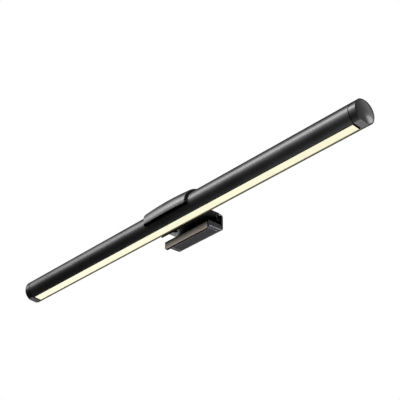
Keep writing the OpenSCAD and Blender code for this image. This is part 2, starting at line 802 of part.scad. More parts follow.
module led_lead() {
    pad_length = 1.2; // soldered to the control board
    landing_y = 3.2; // where the lead meets the LED board
    last_leg = [0.9, 2]; // run and rise of the lead above the LED board
    slack = 1.6; // between the tilt stop and the first bend
    board_end = tilted(landing_y, led_board_low + led_board_thickness + lead_thickness / 2);
    last_bend = board_end + last_leg;
    first_bend = [inner_r - stop_reach - slack, stop_z];
    color("#c98a2b") at_axis() along_x(lead_width)
        strip([[control_board_front + pad_length, stop_z], first_bend, last_bend, board_end], lead_thickness);
}

// Seat plate, lip and two hinge knuckles
module clip_base() {
    size = 4 * tube_r;
    base_end = spring_half + base_knuckle;
    color("#222326") at_axis() difference() {
        union() {
            along_x(clip_width) {
                intersection() {
                    circle(lip_r);
                    polygon([[0, 0], [size, 0], [size * cos(lip_angle), -size * sin(lip_angle)]]);
                }
                translate([tube_r / 2, -plate_thickness]) square([hinge_y - tube_r / 2, plate_thickness]);
            }
            both_sides() from_to(spring_half, base_end) translate([hinge_y, hinge_z]) circle(knuckle_r);
            // rails under the control board
            both_sides()
                translate([room_half - rail_margin - rail_width, room_front + rail_margin, -root / 2])
                    cube([rail_width, room_back - room_front - 2 * rail_margin, rail_height + root / 2]);
        }
        along_x(clip_width + cut) circle(holder_r);
        // the plate's back edge is hollow where the jaw's knuckles and the springs turn
        both_sides() from_to(base_end, clip_half + cut) translate([hinge_y, hinge_z])
            circle(knuckle_r + swing_gap);
        along_x(2 * spring_half) translate([hinge_y, hinge_z]) circle(knuckle_r + swing_gap);
        along_x(clip_width) translate([hinge_y, hinge_z]) circle(pin_r + tight_gap);
        ring_arc(lip_r + lip_pad_proud - lip_pad_thickness, lip_r + cut,
            lip_pad_margin_angle - lip_angle, -lip_pad_start_angle,
            lip_pad_inset - clip_half, clip_half - lip_pad_inset);
        both_sides() for (x = [inner_screw_x, outer_screw_x])
            translate([x, screw_row_y, -plate_thickness - cut]) {
                cylinder(r = base_screw_r + tight_gap, h = plate_thickness + 2 * cut);
                cylinder(r = base_head_r + fit_gap, h = base_head_sink + cut);
            }
        // channels for the upper legs of the springs
        both_sides() translate([coil_outer_x - groove_half, hinge_y - upper_leg - groove_half,
            hinge_z + coil_r - wire_r - fit_gap / 2])
                cube([2 * groove_half, upper_leg + groove_half, knuckle_r]);
    }
}

module lip_pad() {
    pad_half = clip_half - lip_pad_inset - fit_gap;
    outer_r = lip_r + lip_pad_proud;
    color("#3c3c3e") at_axis()
        ring_arc(outer_r - lip_pad_thickness + tight_gap, outer_r,
            lip_pad_margin_angle + lip_pad_play_angle - lip_angle, -lip_pad_start_angle - lip_pad_play_angle,
            -pad_half, pad_half);
}

module seat_pad() {
    side_margin = 1;
    head_play = 0.9; // round the heads of the base screws
    color("#3c3c3e") at_axis() difference() {
        translate([side_margin - clip_half, seat_front, seat_bottom])
            cube([clip_width - 2 * side_margin, seat_length, seat_pad_thickness]);
        both_sides() for (x = [inner_screw_x, outer_screw_x])
            translate([x, screw_row_y, seat_bottom - cut])
                cylinder(r = base_head_r + head_play, h = seat_pad_thickness + 2 * cut);
    }
}

// Screws that hold the clip base to the hood: domed heads below the seat plate
module base_screws() {
    dome_r = (pow(base_head_r, 2) + pow(base_head_h, 2)) / (2 * base_head_h);
    color("silver") at_axis() both_sides() for (x = [inner_screw_x, outer_screw_x])
        translate([x, screw_row_y, base_head_sink - plate_thickness]) difference() {
            union() {
                mirror([0, 0, 1]) rotate_extrude() intersection() {
                    translate([0, base_head_h - dome_r]) circle(dome_r);
                    square([base_head_r, base_head_h]);
                }
                cylinder(r = base_screw_r, h = plate_thickness - base_head_sink + base_screw_depth);
            }
            translate([0, 0, -base_head_h]) cross_recess(base_head_r);
        }
}

module hinge_pin() {
    color("silver") at_axis() from_to(end_recess + pin_sink - clip_half, pin_end - fit_gap)
        translate([hinge_y, hinge_z]) circle(pin_r);
}

// Centre line of one torsion spring: leg in the seat plate, coils towards the middle, leg down the jaw's back
function spring_line(steps = 12) = let (
        n = steps * coil_turns + steps / 4,
        run = coil_outer_x - coil_inner_x,
        coil = [for (i = [0 : n]) let (a = 90 - 360 * i / steps)
            [coil_outer_x - run * i / n, hinge_y + coil_r * cos(a), hinge_z + coil_r * sin(a)]])
    concat([[coil_outer_x, hinge_y - upper_leg, hinge_z + coil_r]], coil,
        [[coil_inner_x, hinge_y + coil_r, hinge_z - lower_leg]]);

// Direction of the line at one of its points
function heading(line, i) = let (
        step = line[min(i + 1, len(line) - 1)] - line[max(i - 1, 0)])
    step / norm(step);

// Round wire swept along a line that never runs along X
module wire(line, r, sides = 6) {
    rings = [for (i = [0 : len(line) - 1])
        let (t = heading(line, i), u = cross([1, 0, 0], t), n = u / norm(u), b = cross(t, n))
        for (k = [0 : sides - 1]) line[i] + r * (cos(360 * k / sides) * n + sin(360 * k / sides) * b)];
    skin = [for (i = [0 : len(line) - 2], k = [0 : sides - 1]) let (m = (k + 1) % sides)
        [i * sides + k, i * sides + m, (i + 1) * sides + m, (i + 1) * sides + k]];
    first = [for (k = [0 : sides - 1]) sides - 1 - k];
    last = [for (k = [0 : sides - 1]) (len(line) - 1) * sides + k];
    polyhedron(rings, concat([first], skin, [last]));
}

module torsion_springs() {
    color("#c9cdd2") at_axis() both_sides() wire(spring_line(), wire_r);
}

// Cuts the chamfer from the +X end of the jaw: under the arm, round the heel, up the back, over the knuckle
module end_edge() {
    low = arm_bottom + heel_round;
    outside = end_chamfer + cut;
    edge = [[0, clip_half], [end_chamfer, clip_half - end_chamfer], [outside, clip_half - end_chamfer],
        [outside, clip_half + cut], [0, clip_half + cut]];
    translate([0, back_y - heel_round, low]) turned_arc(-90, 0)
        translate([heel_round - end_chamfer, 0]) polygon(edge);
    along_y(arm_front, back_y - heel_round) translate([0, arm_bottom + end_chamfer])
        polygon([for (p = edge) [p[1], -p[0]]]);
    translate([0, 0, low]) linear_extrude(hinge_z - low) translate([0, back_y - end_chamfer])
        polygon([for (p = edge) [p[1], p[0]]]);
    translate([0, hinge_y, hinge_z]) turned_arc(0, 180)
        translate([knuckle_r - end_chamfer, 0]) polygon(edge);
}

// Knuckles, back wall, hollow lower arm and nose plate in one moulding
module jaw_arm() {
    knuckle_x = spring_half + base_knuckle + swing_gap;
    heel = [back_y - heel_round, arm_bottom + heel_round];
    wall_front = back_y - back_wall;
    color("#232427") at_axis() difference() {
        union() {
            along_x(clip_width) {
                translate([wall_front, heel[1]]) square([back_wall, hinge_z - heel[1]]);
                translate([arm_front, heel[1]]) square([back_y - arm_front, arm_top - heel[1]]);
                translate([arm_front, arm_bottom]) square([heel[0] - arm_front, heel_round]);
                translate([nose_back, arm_bottom]) square([nose_plate + root, nose_top - arm_bottom]);
                translate(heel) circle(heel_round);
            }
            both_sides() from_to(knuckle_x, clip_half) translate([hinge_y, hinge_z]) circle(knuckle_r);
            along_y(nose_rim_front, arm_front) nose_outline();
        }
        // the nose pad lies in a shallow pocket
        along_y(nose_front, nose_back) nose_outline(nose_rim);
        // room for the knuckles and springs of the base
        along_x(2 * knuckle_x) translate([hinge_y, hinge_z]) circle(knuckle_r + swing_gap);
        // at both ends the knuckles are set back inside the wall
        both_sides() from_to(clip_half - end_recess, clip_half + cut) {
            translate([hinge_y - knuckle_r - cut, arm_top])
                square([wall_front - hinge_y + knuckle_r + cut, plate_bottom - arm_top]);
            translate([wall_front - end_slot_width, arm_top - end_slot_depth])
                square([end_slot_width, end_slot_depth + cut]);
        }
        from_to(-clip_half - cut, pin_end) translate([hinge_y, hinge_z]) circle(pin_r + pin_play);
        // room for the weight, and the recess for its cover
        translate([-jaw_room_half, room_floor_y, cover_top - cut])
            cube([2 * jaw_room_half, room_rear_y - room_floor_y, arm_top - arm_wall - cover_top + cut]);
        translate([0, 0, arm_bottom - cut]) linear_extrude(cover_thickness + cut) cover_outline();
        // channels down the back for the lower legs of the springs
        both_sides() translate([coil_inner_x - groove_half, hinge_y + coil_r - wire_r - fit_gap / 2,
            hinge_z - lower_leg - groove_half]) cube([2 * groove_half, knuckle_r, lower_leg + groove_half]);
        both_sides() end_edge();
    }
}

// Outline of the cover's recess, drawn smaller by inset
module cover_outline(inset = 0) {
    grow = cover_ledge - inset;
    translate([-jaw_room_half - grow, room_floor_y - grow])
        square([2 * (jaw_room_half + grow), room_rear_y - room_floor_y + 2 * grow]);
}

// Outline of the nose: square at the top, round corners below
module nose_outline(inset = 0) {
    w = clip_width - 2 * inset;
    r = nose_corner - inset;
    low = nose_bottom + inset;
    translate([0, (nose_top - inset + low) / 2]) {
        round_rect(w, nose_top - inset - low, r);
        translate([-w / 2, 0]) square([w, (nose_top - inset - low) / 2]);
    }
}

module nose_pad() {
    color("#8d877f") at_axis() along_y(nose_front, nose_back) nose_outline(nose_rim + fit_gap);
}

module jaw_weight() {
    half = jaw_room_half - weight_gap;
    color("#6f7174") at_axis()
        translate([-half, room_floor_y + weight_gap, cover_top + fit_gap / 2])
            cube([2 * half, room_rear_y - room_floor_y - 2 * weight_gap,
                arm_top - arm_wall - cover_top - fit_gap]);
}

module jaw_cover() {
    color("#2e2f32") at_axis() translate([0, 0, arm_bottom]) linear_extrude(cover_thickness)
        cover_outline(fit_gap / 2);
}

tube();
diffuser();
reflector_strips();
led_board();
leds();
left_end_cap();
right_end_cap();
left_cap_disc();
right_cap_disc();
cap_screws();
hood();
touch_panel();
touch_film();
tilt_stop();
friction_pads();
control_board();
board_parts();
usb_shell();
usb_tongue();
led_lead();
clip_base();
lip_pad();
seat_pad();
base_screws();
hinge_pin();
torsion_springs();
jaw_arm();
jaw_weight();
jaw_cover();
nose_pad();
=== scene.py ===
# Monitor light bar: finishes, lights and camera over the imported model.
import json
import math
import bmesh
import bpy
from mathutils import Matrix, Vector


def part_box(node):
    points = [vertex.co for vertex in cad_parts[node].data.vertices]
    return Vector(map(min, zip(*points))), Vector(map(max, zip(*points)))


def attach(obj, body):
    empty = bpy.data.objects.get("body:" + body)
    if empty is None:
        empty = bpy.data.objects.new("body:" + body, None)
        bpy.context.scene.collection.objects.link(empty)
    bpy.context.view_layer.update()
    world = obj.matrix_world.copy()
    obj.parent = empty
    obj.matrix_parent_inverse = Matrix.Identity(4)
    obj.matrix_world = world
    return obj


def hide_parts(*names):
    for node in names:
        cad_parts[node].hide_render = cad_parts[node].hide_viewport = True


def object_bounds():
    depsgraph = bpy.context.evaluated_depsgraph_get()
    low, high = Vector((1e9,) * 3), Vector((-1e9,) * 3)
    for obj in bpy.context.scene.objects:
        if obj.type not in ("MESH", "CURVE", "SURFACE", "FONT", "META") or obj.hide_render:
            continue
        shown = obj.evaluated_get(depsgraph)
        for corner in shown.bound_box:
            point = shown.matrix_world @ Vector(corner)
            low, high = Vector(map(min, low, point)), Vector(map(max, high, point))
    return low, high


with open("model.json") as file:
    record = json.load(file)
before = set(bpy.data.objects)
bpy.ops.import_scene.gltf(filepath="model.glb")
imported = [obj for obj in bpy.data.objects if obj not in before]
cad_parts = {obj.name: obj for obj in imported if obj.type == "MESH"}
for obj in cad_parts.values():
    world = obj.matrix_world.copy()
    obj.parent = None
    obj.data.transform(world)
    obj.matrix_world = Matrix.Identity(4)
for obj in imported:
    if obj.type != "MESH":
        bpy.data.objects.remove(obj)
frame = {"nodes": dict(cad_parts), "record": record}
nodes = frame["nodes"]
cadLow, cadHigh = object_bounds()
joints = {joint["name"]: joint for joint in frame["record"]["behaviour"]["joints"]}
barAxis = Vector(joints["bar_tilt"]["pos_m"])
hingeAxis = Vector(joints["jaw_hinge"]["pos_m"])
print("frame loaded:", len(nodes), "parts")

# node helpers


def newMaterial(name):
    material = bpy.data.materials.new(name)
    material.use_nodes = True
    tree = material.node_tree
    shader = next(node for node in tree.nodes if node.type == "BSDF_PRINCIPLED")
    return material, tree, shader


def mathNode(tree, operation, *values):
    # a value is a number, or the output that feeds it
    node = tree.nodes.new("ShaderNodeMath")
    node.operation = operation
    for socket, value in zip(node.inputs, values):
        if isinstance(value, bpy.types.NodeSocket):
            tree.links.new(value, socket)
        else:
            socket.default_value = value
    return node.outputs[0]


def pointNode(tree):
    return tree.nodes.new("ShaderNodeTexCoord").outputs["Object"]


def partsNode(tree, vector):
    parts = tree.nodes.new("ShaderNodeSeparateXYZ")
    tree.links.new(vector, parts.inputs["Vector"])
    return parts.outputs


def noiseNode(tree, scale, stretch, detail, shift):
    # stretch: how many times finer the noise is along each axis
    mapping = tree.nodes.new("ShaderNodeMapping")
    noise = tree.nodes.new("ShaderNodeTexNoise")
    mapping.inputs["Scale"].default_value = stretch
    mapping.inputs["Location"].default_value = shift
    noise.inputs["Scale"].default_value = scale
    noise.inputs["Detail"].default_value = detail
    tree.links.new(pointNode(tree), mapping.inputs["Vector"])
    tree.links.new(mapping.outputs["Vector"], noise.inputs["Vector"])
    return noise.outputs["Fac"]


noiseLow, noiseHigh = 0.3, 0.7  # the part of the noise that is spread over a range


def rampNode(tree, source, low, high):
    ramp = tree.nodes.new("ShaderNodeValToRGB")
    ramp.color_ramp.elements[0].position = noiseLow
    ramp.color_ramp.elements[1].position = noiseHigh
    ramp.color_ramp.elements[0].color = (*low, 1.0)
    ramp.color_ramp.elements[1].color = (*high, 1.0)
    tree.links.new(source, ramp.inputs["Fac"])
    return ramp.outputs["Color"]


def spreadNode(tree, source, low, high):
    spread = tree.nodes.new("ShaderNodeMapRange")
    spread.inputs["From Min"].default_value = noiseLow
    spread.inputs["From Max"].default_value = noiseHigh
    spread.inputs["To Min"].default_value = low
    spread.inputs["To Max"].default_value = high
    tree.links.new(source, spread.inputs["Value"])
    return spread.outputs["Result"]


def bumpNode(tree, source, strength, distance, before=None):
    bump = tree.nodes.new("ShaderNodeBump")
    bump.inputs["Strength"].default_value = strength
    bump.inputs["Distance"].default_value = distance
    tree.links.new(source, bump.inputs["Height"])
    if before is not None:
        tree.links.new(before, bump.inputs["Normal"])
    return bump.outputs["Normal"]


# how far two normals differ at an edge and on a flat face, and the least lightening along an edge (rub wear,
# and on the jaw a painted edge highlight)
wearAndSheenEdges = {"samples": 6, "flat": 0.995, "edge": 0.90, "least": 0.15}


def edgeNodes(tree, radius, patches):
    # how near a point is to an edge, broken up by the patches, and the normal of the softened edge
    soft = tree.nodes.new("ShaderNodeBevel")
    soft.samples = wearAndSheenEdges["samples"]
    soft.inputs["Radius"].default_value = radius
    face = tree.nodes.new("ShaderNodeNewGeometry")
    dot = tree.nodes.new("ShaderNodeVectorMath")
    dot.operation = "DOT_PRODUCT"
    tree.links.new(soft.outputs["Normal"], dot.inputs[0])
    tree.links.new(face.outputs["Normal"], dot.inputs[1])
    near = tree.nodes.new("ShaderNodeMapRange")
    near.inputs["From Min"].default_value = wearAndSheenEdges["flat"]
    near.inputs["From Max"].default_value = wearAndSheenEdges["edge"]
    tree.links.new(dot.outputs["Value"], near.inputs["Value"])
    broken = mathNode(tree, "MULTIPLY", near.outputs["Result"], spreadNode(tree, patches, wearAndSheenEdges["least"], 1.0))
    return broken, soft.outputs["Normal"]


def mixNode(tree, amount, first, second):
    mix = tree.nodes.new("ShaderNodeMix")
    mix.data_type = "RGBA"
    tree.links.new(amount, mix.inputs["Factor"])
    tree.links.new(first, mix.inputs["A"])
    mix.inputs["B"].default_value = (*second, 1.0)
    return mix.outputs["Result"]


def paintedShadeNode(tree, paintedShade, colour):
    # painted shade: darker towards the top of a piece, as if shaded by the bar above
    height = tree.nodes.new("ShaderNodeMapRange")
    height.interpolation_type = "SMOOTHSTEP"
    height.inputs["From Min"].default_value = paintedShade["low"]
    height.inputs["From Max"].default_value = paintedShade["high"]
    tree.links.new(partsNode(tree, pointNode(tree))["Z"], height.inputs["Value"])
    return mixNode(tree, height.outputs["Result"], colour, paintedShade["top"])


def jointNode(tree, place, half):
    # 1 on a thin line round the bar, where a cap meets the tube
    side = mathNode(tree, "ABSOLUTE", partsNode(tree, pointNode(tree))["X"])
    return mathNode(tree, "COMPARE", side, place, half)


def bandNode(tree, start, end):
    # 1 between two angles round the bar, counted in degrees from the top towards the front
    parts = partsNode(tree, pointNode(tree))
    ahead = mathNode(tree, "SUBTRACT", barAxis.y, parts["Y"])
    rise = mathNode(tree, "SUBTRACT", parts["Z"], barAxis.z)
    angle = mathNode(tree, "ARCTAN2", ahead, rise)
    return mathNode(tree, "COMPARE", angle, math.radians((start + end) / 2), math.radians((end - start) / 2))


def rimNode(tree, place):
    # 1 in front of a plane across the clip, where the jaw's front rim gets a painted shade line
    return mathNode(tree, "LESS_THAN", partsNode(tree, pointNode(tree))["Y"], place)


def markNode(tree, mark):
    # 1 on a small printed mark: a bar (half sizes) or a ring (radius and half line), seen from above
    centred = tree.nodes.new("ShaderNodeVectorMath")
    centred.operation = "SUBTRACT"
    centred.inputs[1].default_value = (*mark["middle"], 0.0)
    flat = tree.nodes.new("ShaderNodeVectorMath")
    flat.operation = "MULTIPLY"
    flat.inputs[1].default_value = (1.0, 1.0, 0.0)
    tree.links.new(pointNode(tree), centred.inputs[0])
    tree.links.new(centred.outputs["Vector"], flat.inputs[0])
    if "ring" in mark:
        length = tree.nodes.new("ShaderNodeVectorMath")
        length.operation = "LENGTH"
        tree.links.new(flat.outputs["Vector"], length.inputs[0])
        return mathNode(tree, "COMPARE", length.outputs["Value"], *mark["ring"])
    parts = partsNode(tree, flat.outputs["Vector"])
    sides = [mathNode(tree, "COMPARE", parts[axis], 0.0, half) for axis, half in zip("XY", mark["bar"])]
    return mathNode(tree, "MULTIPLY", *sides)


def domeNode(tree, dome, before):
    # a face that is very slightly domed round the bar's axis
    centred = tree.nodes.new("ShaderNodeMapping")
    centred.inputs["Location"].default_value = tuple(-value for value in barAxis)
    flat = tree.nodes.new("ShaderNodeVectorMath")
    flat.operation = "MULTIPLY"
    flat.inputs[1].default_value = (0.0, 1.0 / dome["radius"], 1.0 / dome["radius"])
    length = tree.nodes.new("ShaderNodeVectorMath")
    length.operation = "LENGTH"
    tree.links.new(pointNode(tree), centred.inputs["Vector"])
    tree.links.new(centred.outputs["Vector"], flat.inputs[0])
    tree.links.new(flat.outputs["Vector"], length.inputs[0])
    square = mathNode(tree, "POWER", length.outputs["Value"], 2.0)
    bump = tree.nodes.new("ShaderNodeBump")
    bump.invert = True
    bump.inputs["Strength"].default_value = 1.0
    bump.inputs["Distance"].default_value = dome["height"]
    tree.links.new(square, bump.inputs["Height"])
    if before is not None:
        tree.links.new(before, bump.inputs["Normal"])
    return bump.outputs["Normal"]


jointBlack = (0.004, 0.004, 0.004)
# painted shade along the jaw's front rim
rimBlack = (0.002, 0.002, 0.002)
unlit = (0.0, 0.0, 0.0)


def makeFinish(name, look):
    # one finish: a colour that wanders a little, uneven gloss, a fine grain and lighter edges (rub wear, partly
    # a painted edge highlight), plus any painted shade or painted light the look asks for
    material, tree, shader = newMaterial(name)
    even = (1.0, 1.0, 1.0)
    shift = look.get("shift", (0.0, 0.0, 0.0))
    cloud = noiseNode(tree, look["cloudScale"], even, 3.0, shift)
    grain = noiseNode(tree, look["grainScale"], look.get("grainStretch", even), 5.0, shift)
    colour = rampNode(tree, cloud, look["dark"], look["light"])
    before = None
    # lighter edges: rub wear, and on the jaw mostly a painted highlight along the chamfer
    if "wearAndSheen" in look:
        patches = noiseNode(tree, look["cloudScale"] * 6.0, even, 4.0, shift)
        edge, before = edgeNodes(tree, look["edgeRadius"], patches)
        colour = mixNode(tree, edge, colour, look["wearAndSheen"])
    # painted shade, darker towards the top
    if "paintedShade" in look:
        colour = paintedShadeNode(tree, look["paintedShade"], colour)
    if "joint" in look:
        colour = mixNode(tree, jointNode(tree, *look["joint"]), colour, jointBlack)
    # painted shade and painted light, laid in bands round the bar
    for start, end, tone in look.get("paintedShadeAndLightBands", []):
        colour = mixNode(tree, bandNode(tree, start, end), colour, tone)
    for mark in look.get("marks", []):
        colour = mixNode(tree, markNode(tree, mark), colour, look["markColour"])
    # painted shade: a black line along the front rim of the jaw
    if "rim" in look:
        colour = mixNode(tree, rimNode(tree, look["rim"]), colour, rimBlack)
    if "dome" in look:
        before = domeNode(tree, look["dome"], before)
    tree.links.new(colour, shader.inputs["Base Color"])
    tree.links.new(spreadNode(tree, cloud, *look["rough"]), shader.inputs["Roughness"])
    tree.links.new(bumpNode(tree, grain, look["bump"], look["bumpHeight"], before), shader.inputs["Normal"])
    shader.inputs["Metallic"].default_value = look.get("metal", 0.0)
    if "metalEnd" in look:  # a joint that stays black where the surface is seen flat on its side
        tree.links.new(jointNode(tree, *look["metalEnd"]), shader.inputs["Metallic"])
    shader.inputs["Specular IOR Level"].default_value = look.get("specular", 0.5)
    if "edgeTint" in look:
        shader.inputs["Specular Tint"].default_value = (*look["edgeTint"], 1.0)
    if "glow" in look:
        lit = rampNode(tree, cloud, look["glow"], look["glow"])
        lit = mixNode(tree, jointNode(tree, *look["glowEnd"]), lit, unlit)
        # painted shade: no glow in the band along the strip's front edge, under the lip
        lit = mixNode(tree, bandNode(tree, *look["glowShadeBand"]), lit, unlit)
        tree.links.new(lit, shader.inputs["Emission Color"])
        shader.inputs["Emission Strength"].default_value = look["glowStrength"]
    return material


def paint(material, *names):
    for name in names:
        for materialSlot in nodes[name].material_slots:
            materialSlot.material = material


# finishes of the bar

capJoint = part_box("tube")[1].x  # where the tube ends and the caps begin

tubeLook = {
    "dark": (0.052, 0.052, 0.0525), "light": (0.060, 0.060, 0.0605),
    "cloudScale": 40.0, "rough": (0.38, 0.41), "metal": 1.0, "edgeTint": (0.17, 0.17, 0.17),
    "grainScale": 2600.0, "grainStretch": (0.5, 1.0, 1.0), "bump": 0.02, "bumpHeight": 0.00001,
    "wearAndSheen": (0.12, 0.12, 0.122), "edgeRadius": 0.0002, "joint": (capJoint, 0.0003),
    # painted shade: a black band on the front lip beside the strip; painted light: an olive tint on the rear
    # lip, as if the strip's glow fell on it
    "paintedShadeAndLightBands": [(148.5, 156.0, (0.003, 0.003, 0.003)), (-180.0, -155.0, (0.078, 0.070, 0.046))],
}
paint(makeFinish("tubeAnodised", tubeLook), "tube")

capLook = {
    "dark": (0.044, 0.044, 0.045), "light": (0.052, 0.052, 0.053),
    "cloudScale": 90.0, "rough": (0.33, 0.37), "metal": 1.0, "edgeTint": (0.25, 0.25, 0.25),
    "grainScale": 3000.0, "bump": 0.03, "bumpHeight": 0.00002,
    "wearAndSheen": (0.05, 0.05, 0.052), "edgeRadius": 0.0003, "joint": (capJoint, 0.0004),
}
paint(makeFinish("capGloss", capLook), "left_end_cap", "right_end_cap")

discLook = {
    "dark": (0.007, 0.007, 0.0075), "light": (0.013, 0.013, 0.0135),
    "cloudScale": 120.0, "rough": (0.20, 0.26), "specular": 0.26,
    "grainScale": 2200.0, "bump": 0.05, "bumpHeight": 0.00003,
    "wearAndSheen": (0.16, 0.16, 0.165), "edgeRadius": 0.0003, "dome": {"radius": 0.0102, "height": 0.0015},
}
paint(makeFinish("discSatin", discLook), "left_cap_disc", "right_cap_disc")

diffuserLook = {
    "dark": (0.16, 0.155, 0.13), "light": (0.20, 0.195, 0.165),
    "cloudScale": 60.0, "rough": (0.40, 0.48), "specular": 0.3,
    "grainScale": 4000.0, "bump": 0.04, "bumpHeight": 0.00001,
    "glow": (1.0, 0.955, 0.60), "glowStrength": 0.52,
    "joint": (capJoint, 0.0018), "glowEnd": (capJoint, 0.0018),
    "metalEnd": (capJoint, 0.0018), "edgeTint": (0.2, 0.2, 0.2),
    # painted shade: a black, unlit band along the front edge of the strip, under the tube's lip
    "paintedShadeAndLightBands": [(140.0, 154.5, (0.003, 0.003, 0.003))], "glowShadeBand": (140.0, 154.5),
}
paint(makeFinish("diffuserFrosted", diffuserLook), "diffuser")

screwLook = {
    "dark": (0.50, 0.50, 0.51), "light": (0.66, 0.66, 0.67),
    "cloudScale": 400.0, "rough": (0.20, 0.32), "metal": 1.0,
    "grainScale": 3000.0, "bump": 0.05, "bumpHeight": 0.00001,
    "wearAndSheen": (0.80, 0.80, 0.81), "edgeRadius": 0.0001,
}
steel = makeFinish("screwSteel", screwLook)
paint(steel, "cap_screws", "base_screws", "hinge_pin", "usb_shell", "jaw_weight")

whiteLook = {
    "dark": (0.78, 0.78, 0.76), "light": (0.86, 0.86, 0.84),
    "cloudScale": 80.0, "rough": (0.42, 0.55),
    "grainScale": 2500.0, "bump": 0.05, "bumpHeight": 0.00002,
    "wearAndSheen": (0.90, 0.90, 0.88), "edgeRadius": 0.0001,
}
paint(makeFinish("whitePlastic", whiteLook), "reflector_strips", "led_board", "tilt_stop")

ledLook = {
    "dark": (0.86, 0.66, 0.22), "light": (0.95, 0.78, 0.34),
    "cloudScale": 300.0, "rough": (0.30, 0.42),
    "grainScale": 3000.0, "bump": 0.05, "bumpHeight": 0.00001,
}
paint(makeFinish("ledPhosphor", ledLook), "leds")
print("bar finished")

# finishes of the hood and the clip

hoodLook = {
    "dark": (0.060, 0.060, 0.061), "light": (0.068, 0.068, 0.069),
    "cloudScale": 55.0, "rough": (0.38, 0.42), "metal": 1.0, "edgeTint": (0.17, 0.17, 0.17),
    "grainScale": 2200.0, "bump": 0.03, "bumpHeight": 0.00002, "shift": (3.0, 1.0, 2.0),
    "wearAndSheen": (0.11, 0.11, 0.115), "edgeRadius": 0.0003,
    # painted shade: a black band along the hood's front edge, where it meets the tube
    "paintedShadeAndLightBands": [(102.0, 125.0, (0.003, 0.003, 0.003))],  # dark along the front edge
}
paint(makeFinish("hoodMatt", hoodLook), "hood")

panelLow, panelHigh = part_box("touch_panel")
panelMiddle = (panelLow.y + panelHigh.y) / 2
panelLook = {
    "dark": (0.010, 0.010, 0.011), "light": (0.014, 0.014, 0.015),
    "cloudScale": 60.0, "rough": (0.12, 0.20), "specular": 0.5,
    "grainScale": 1500.0, "bump": 0.02, "bumpHeight": 0.00001,
    "markColour": (0.60, 0.60, 0.60),
    "marks": [
        {"middle": (-0.014, panelMiddle), "bar": (0.0016, 0.00022)},
        {"middle": (0.0, panelMiddle), "ring": (0.0017, 0.00022)},
        {"middle": (0.0, panelMiddle + 0.0017), "bar": (0.00022, 0.0009)},
        {"middle": (0.014, panelMiddle), "bar": (0.0016, 0.00022)},
        {"middle": (0.014, panelMiddle), "bar": (0.00022, 0.0016)},
    ],
}
paint(makeFinish("panelGloss", panelLook), "touch_panel")

# the jaw's much lighter edges are partly rub wear and mostly a painted highlight along its lower end chamfer
jawLook = {
    "dark": (0.024, 0.024, 0.025), "light": (0.030, 0.030, 0.031),
    "cloudScale": 70.0, "rough": (0.42, 0.50), "metal": 1.0, "edgeTint": (0.35, 0.35, 0.35),
    "grainScale": 2000.0, "bump": 0.10, "bumpHeight": 0.00004, "shift": (1.0, 4.0, 2.0),
    # the rim mask paints a black shade line along the jaw's front rim
    "wearAndSheen": (0.38, 0.38, 0.385), "edgeRadius": 0.00035, "rim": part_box("nose_pad")[0].y + 0.0007,
}
paint(makeFinish("jawMatt", jawLook), "jaw_arm", "jaw_cover")

baseLook = {
    "dark": (0.005, 0.005, 0.0055), "light": (0.008, 0.008, 0.0085),
    "cloudScale": 80.0, "rough": (0.22, 0.30), "specular": 0.06,
    "grainScale": 2400.0, "bump": 0.06, "bumpHeight": 0.00003, "shift": (2.0, 1.0, 5.0),
    "wearAndSheen": (0.03, 0.03, 0.031), "edgeRadius": 0.0002,
}
paint(makeFinish("baseGloss", baseLook), "clip_base")

padLook = {
    "dark": (0.005, 0.005, 0.0055), "light": (0.009, 0.009, 0.0095),
    "cloudScale": 110.0, "rough": (0.24, 0.34), "specular": 0.13,
    "grainScale": 1700.0, "bump": 0.08, "bumpHeight": 0.00004,
    "wearAndSheen": (0.03, 0.03, 0.03), "edgeRadius": 0.0002,
}
paint(makeFinish("padRubber", padLook), "seat_pad", "lip_pad", "friction_pads")

noseLow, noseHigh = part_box("nose_pad")
noseLook = {
    "dark": (0.40, 0.355, 0.305), "light": (0.465, 0.412, 0.354),
    # painted shade: the pad darkens towards its top, under the bar
    "paintedShade": {"low": noseLow.z, "high": noseHigh.z + 0.001, "top": (0.02, 0.019, 0.018)},
    "cloudScale": 90.0, "rough": (0.55, 0.68), "specular": 0.4,
    "grainScale": 1900.0, "bump": 0.18, "bumpHeight": 0.00005,
    "wearAndSheen": (0.33, 0.31, 0.29), "edgeRadius": 0.0002,
}
paint(makeFinish("noseRubber", noseLook), "nose_pad")

boardLook = {
    "dark": (0.012, 0.090, 0.045), "light": (0.020, 0.130, 0.065),
    "cloudScale": 200.0, "rough": (0.25, 0.38),
    "grainScale": 900.0, "bump": 0.10, "bumpHeight": 0.00003,
    "wearAndSheen": (0.10, 0.20, 0.12), "edgeRadius": 0.0001,
}
paint(makeFinish("boardGreen", boardLook), "control_board")

chipLook = {
    "dark": (0.020, 0.020, 0.021), "light": (0.034, 0.034, 0.035),
    "cloudScale": 300.0, "rough": (0.40, 0.55),
    "grainScale": 2600.0, "bump": 0.15, "bumpHeight": 0.00003,
    "wearAndSheen": (0.07, 0.07, 0.07), "edgeRadius": 0.0001,
}
paint(makeFinish("chipBlack", chipLook), "board_parts", "usb_tongue")

filmLook = {
    "dark": (0.42, 0.20, 0.035), "light": (0.56, 0.29, 0.055),
    "cloudScale": 200.0, "rough": (0.22, 0.35),
    "grainScale": 1500.0, "bump": 0.05, "bumpHeight": 0.00002,
}
paint(makeFinish("filmAmber", filmLook), "touch_film", "led_lead")
print("hood and clip finished")

# springs

springLook = {
    "dark": (0.46, 0.46, 0.47), "light": (0.64, 0.64, 0.65),
    "cloudScale": 500.0, "rough": (0.22, 0.34), "metal": 1.0,
    "grainScale": 3500.0, "bump": 0.05, "bumpHeight": 0.00001,
}
springSteel = makeFinish("springSteel", springLook)
spring = {"wire": 0.00038, "coil": 0.0022, "turns": 5, "inner": 0.0032, "lowerLeg": 0.006, "steps": 28}


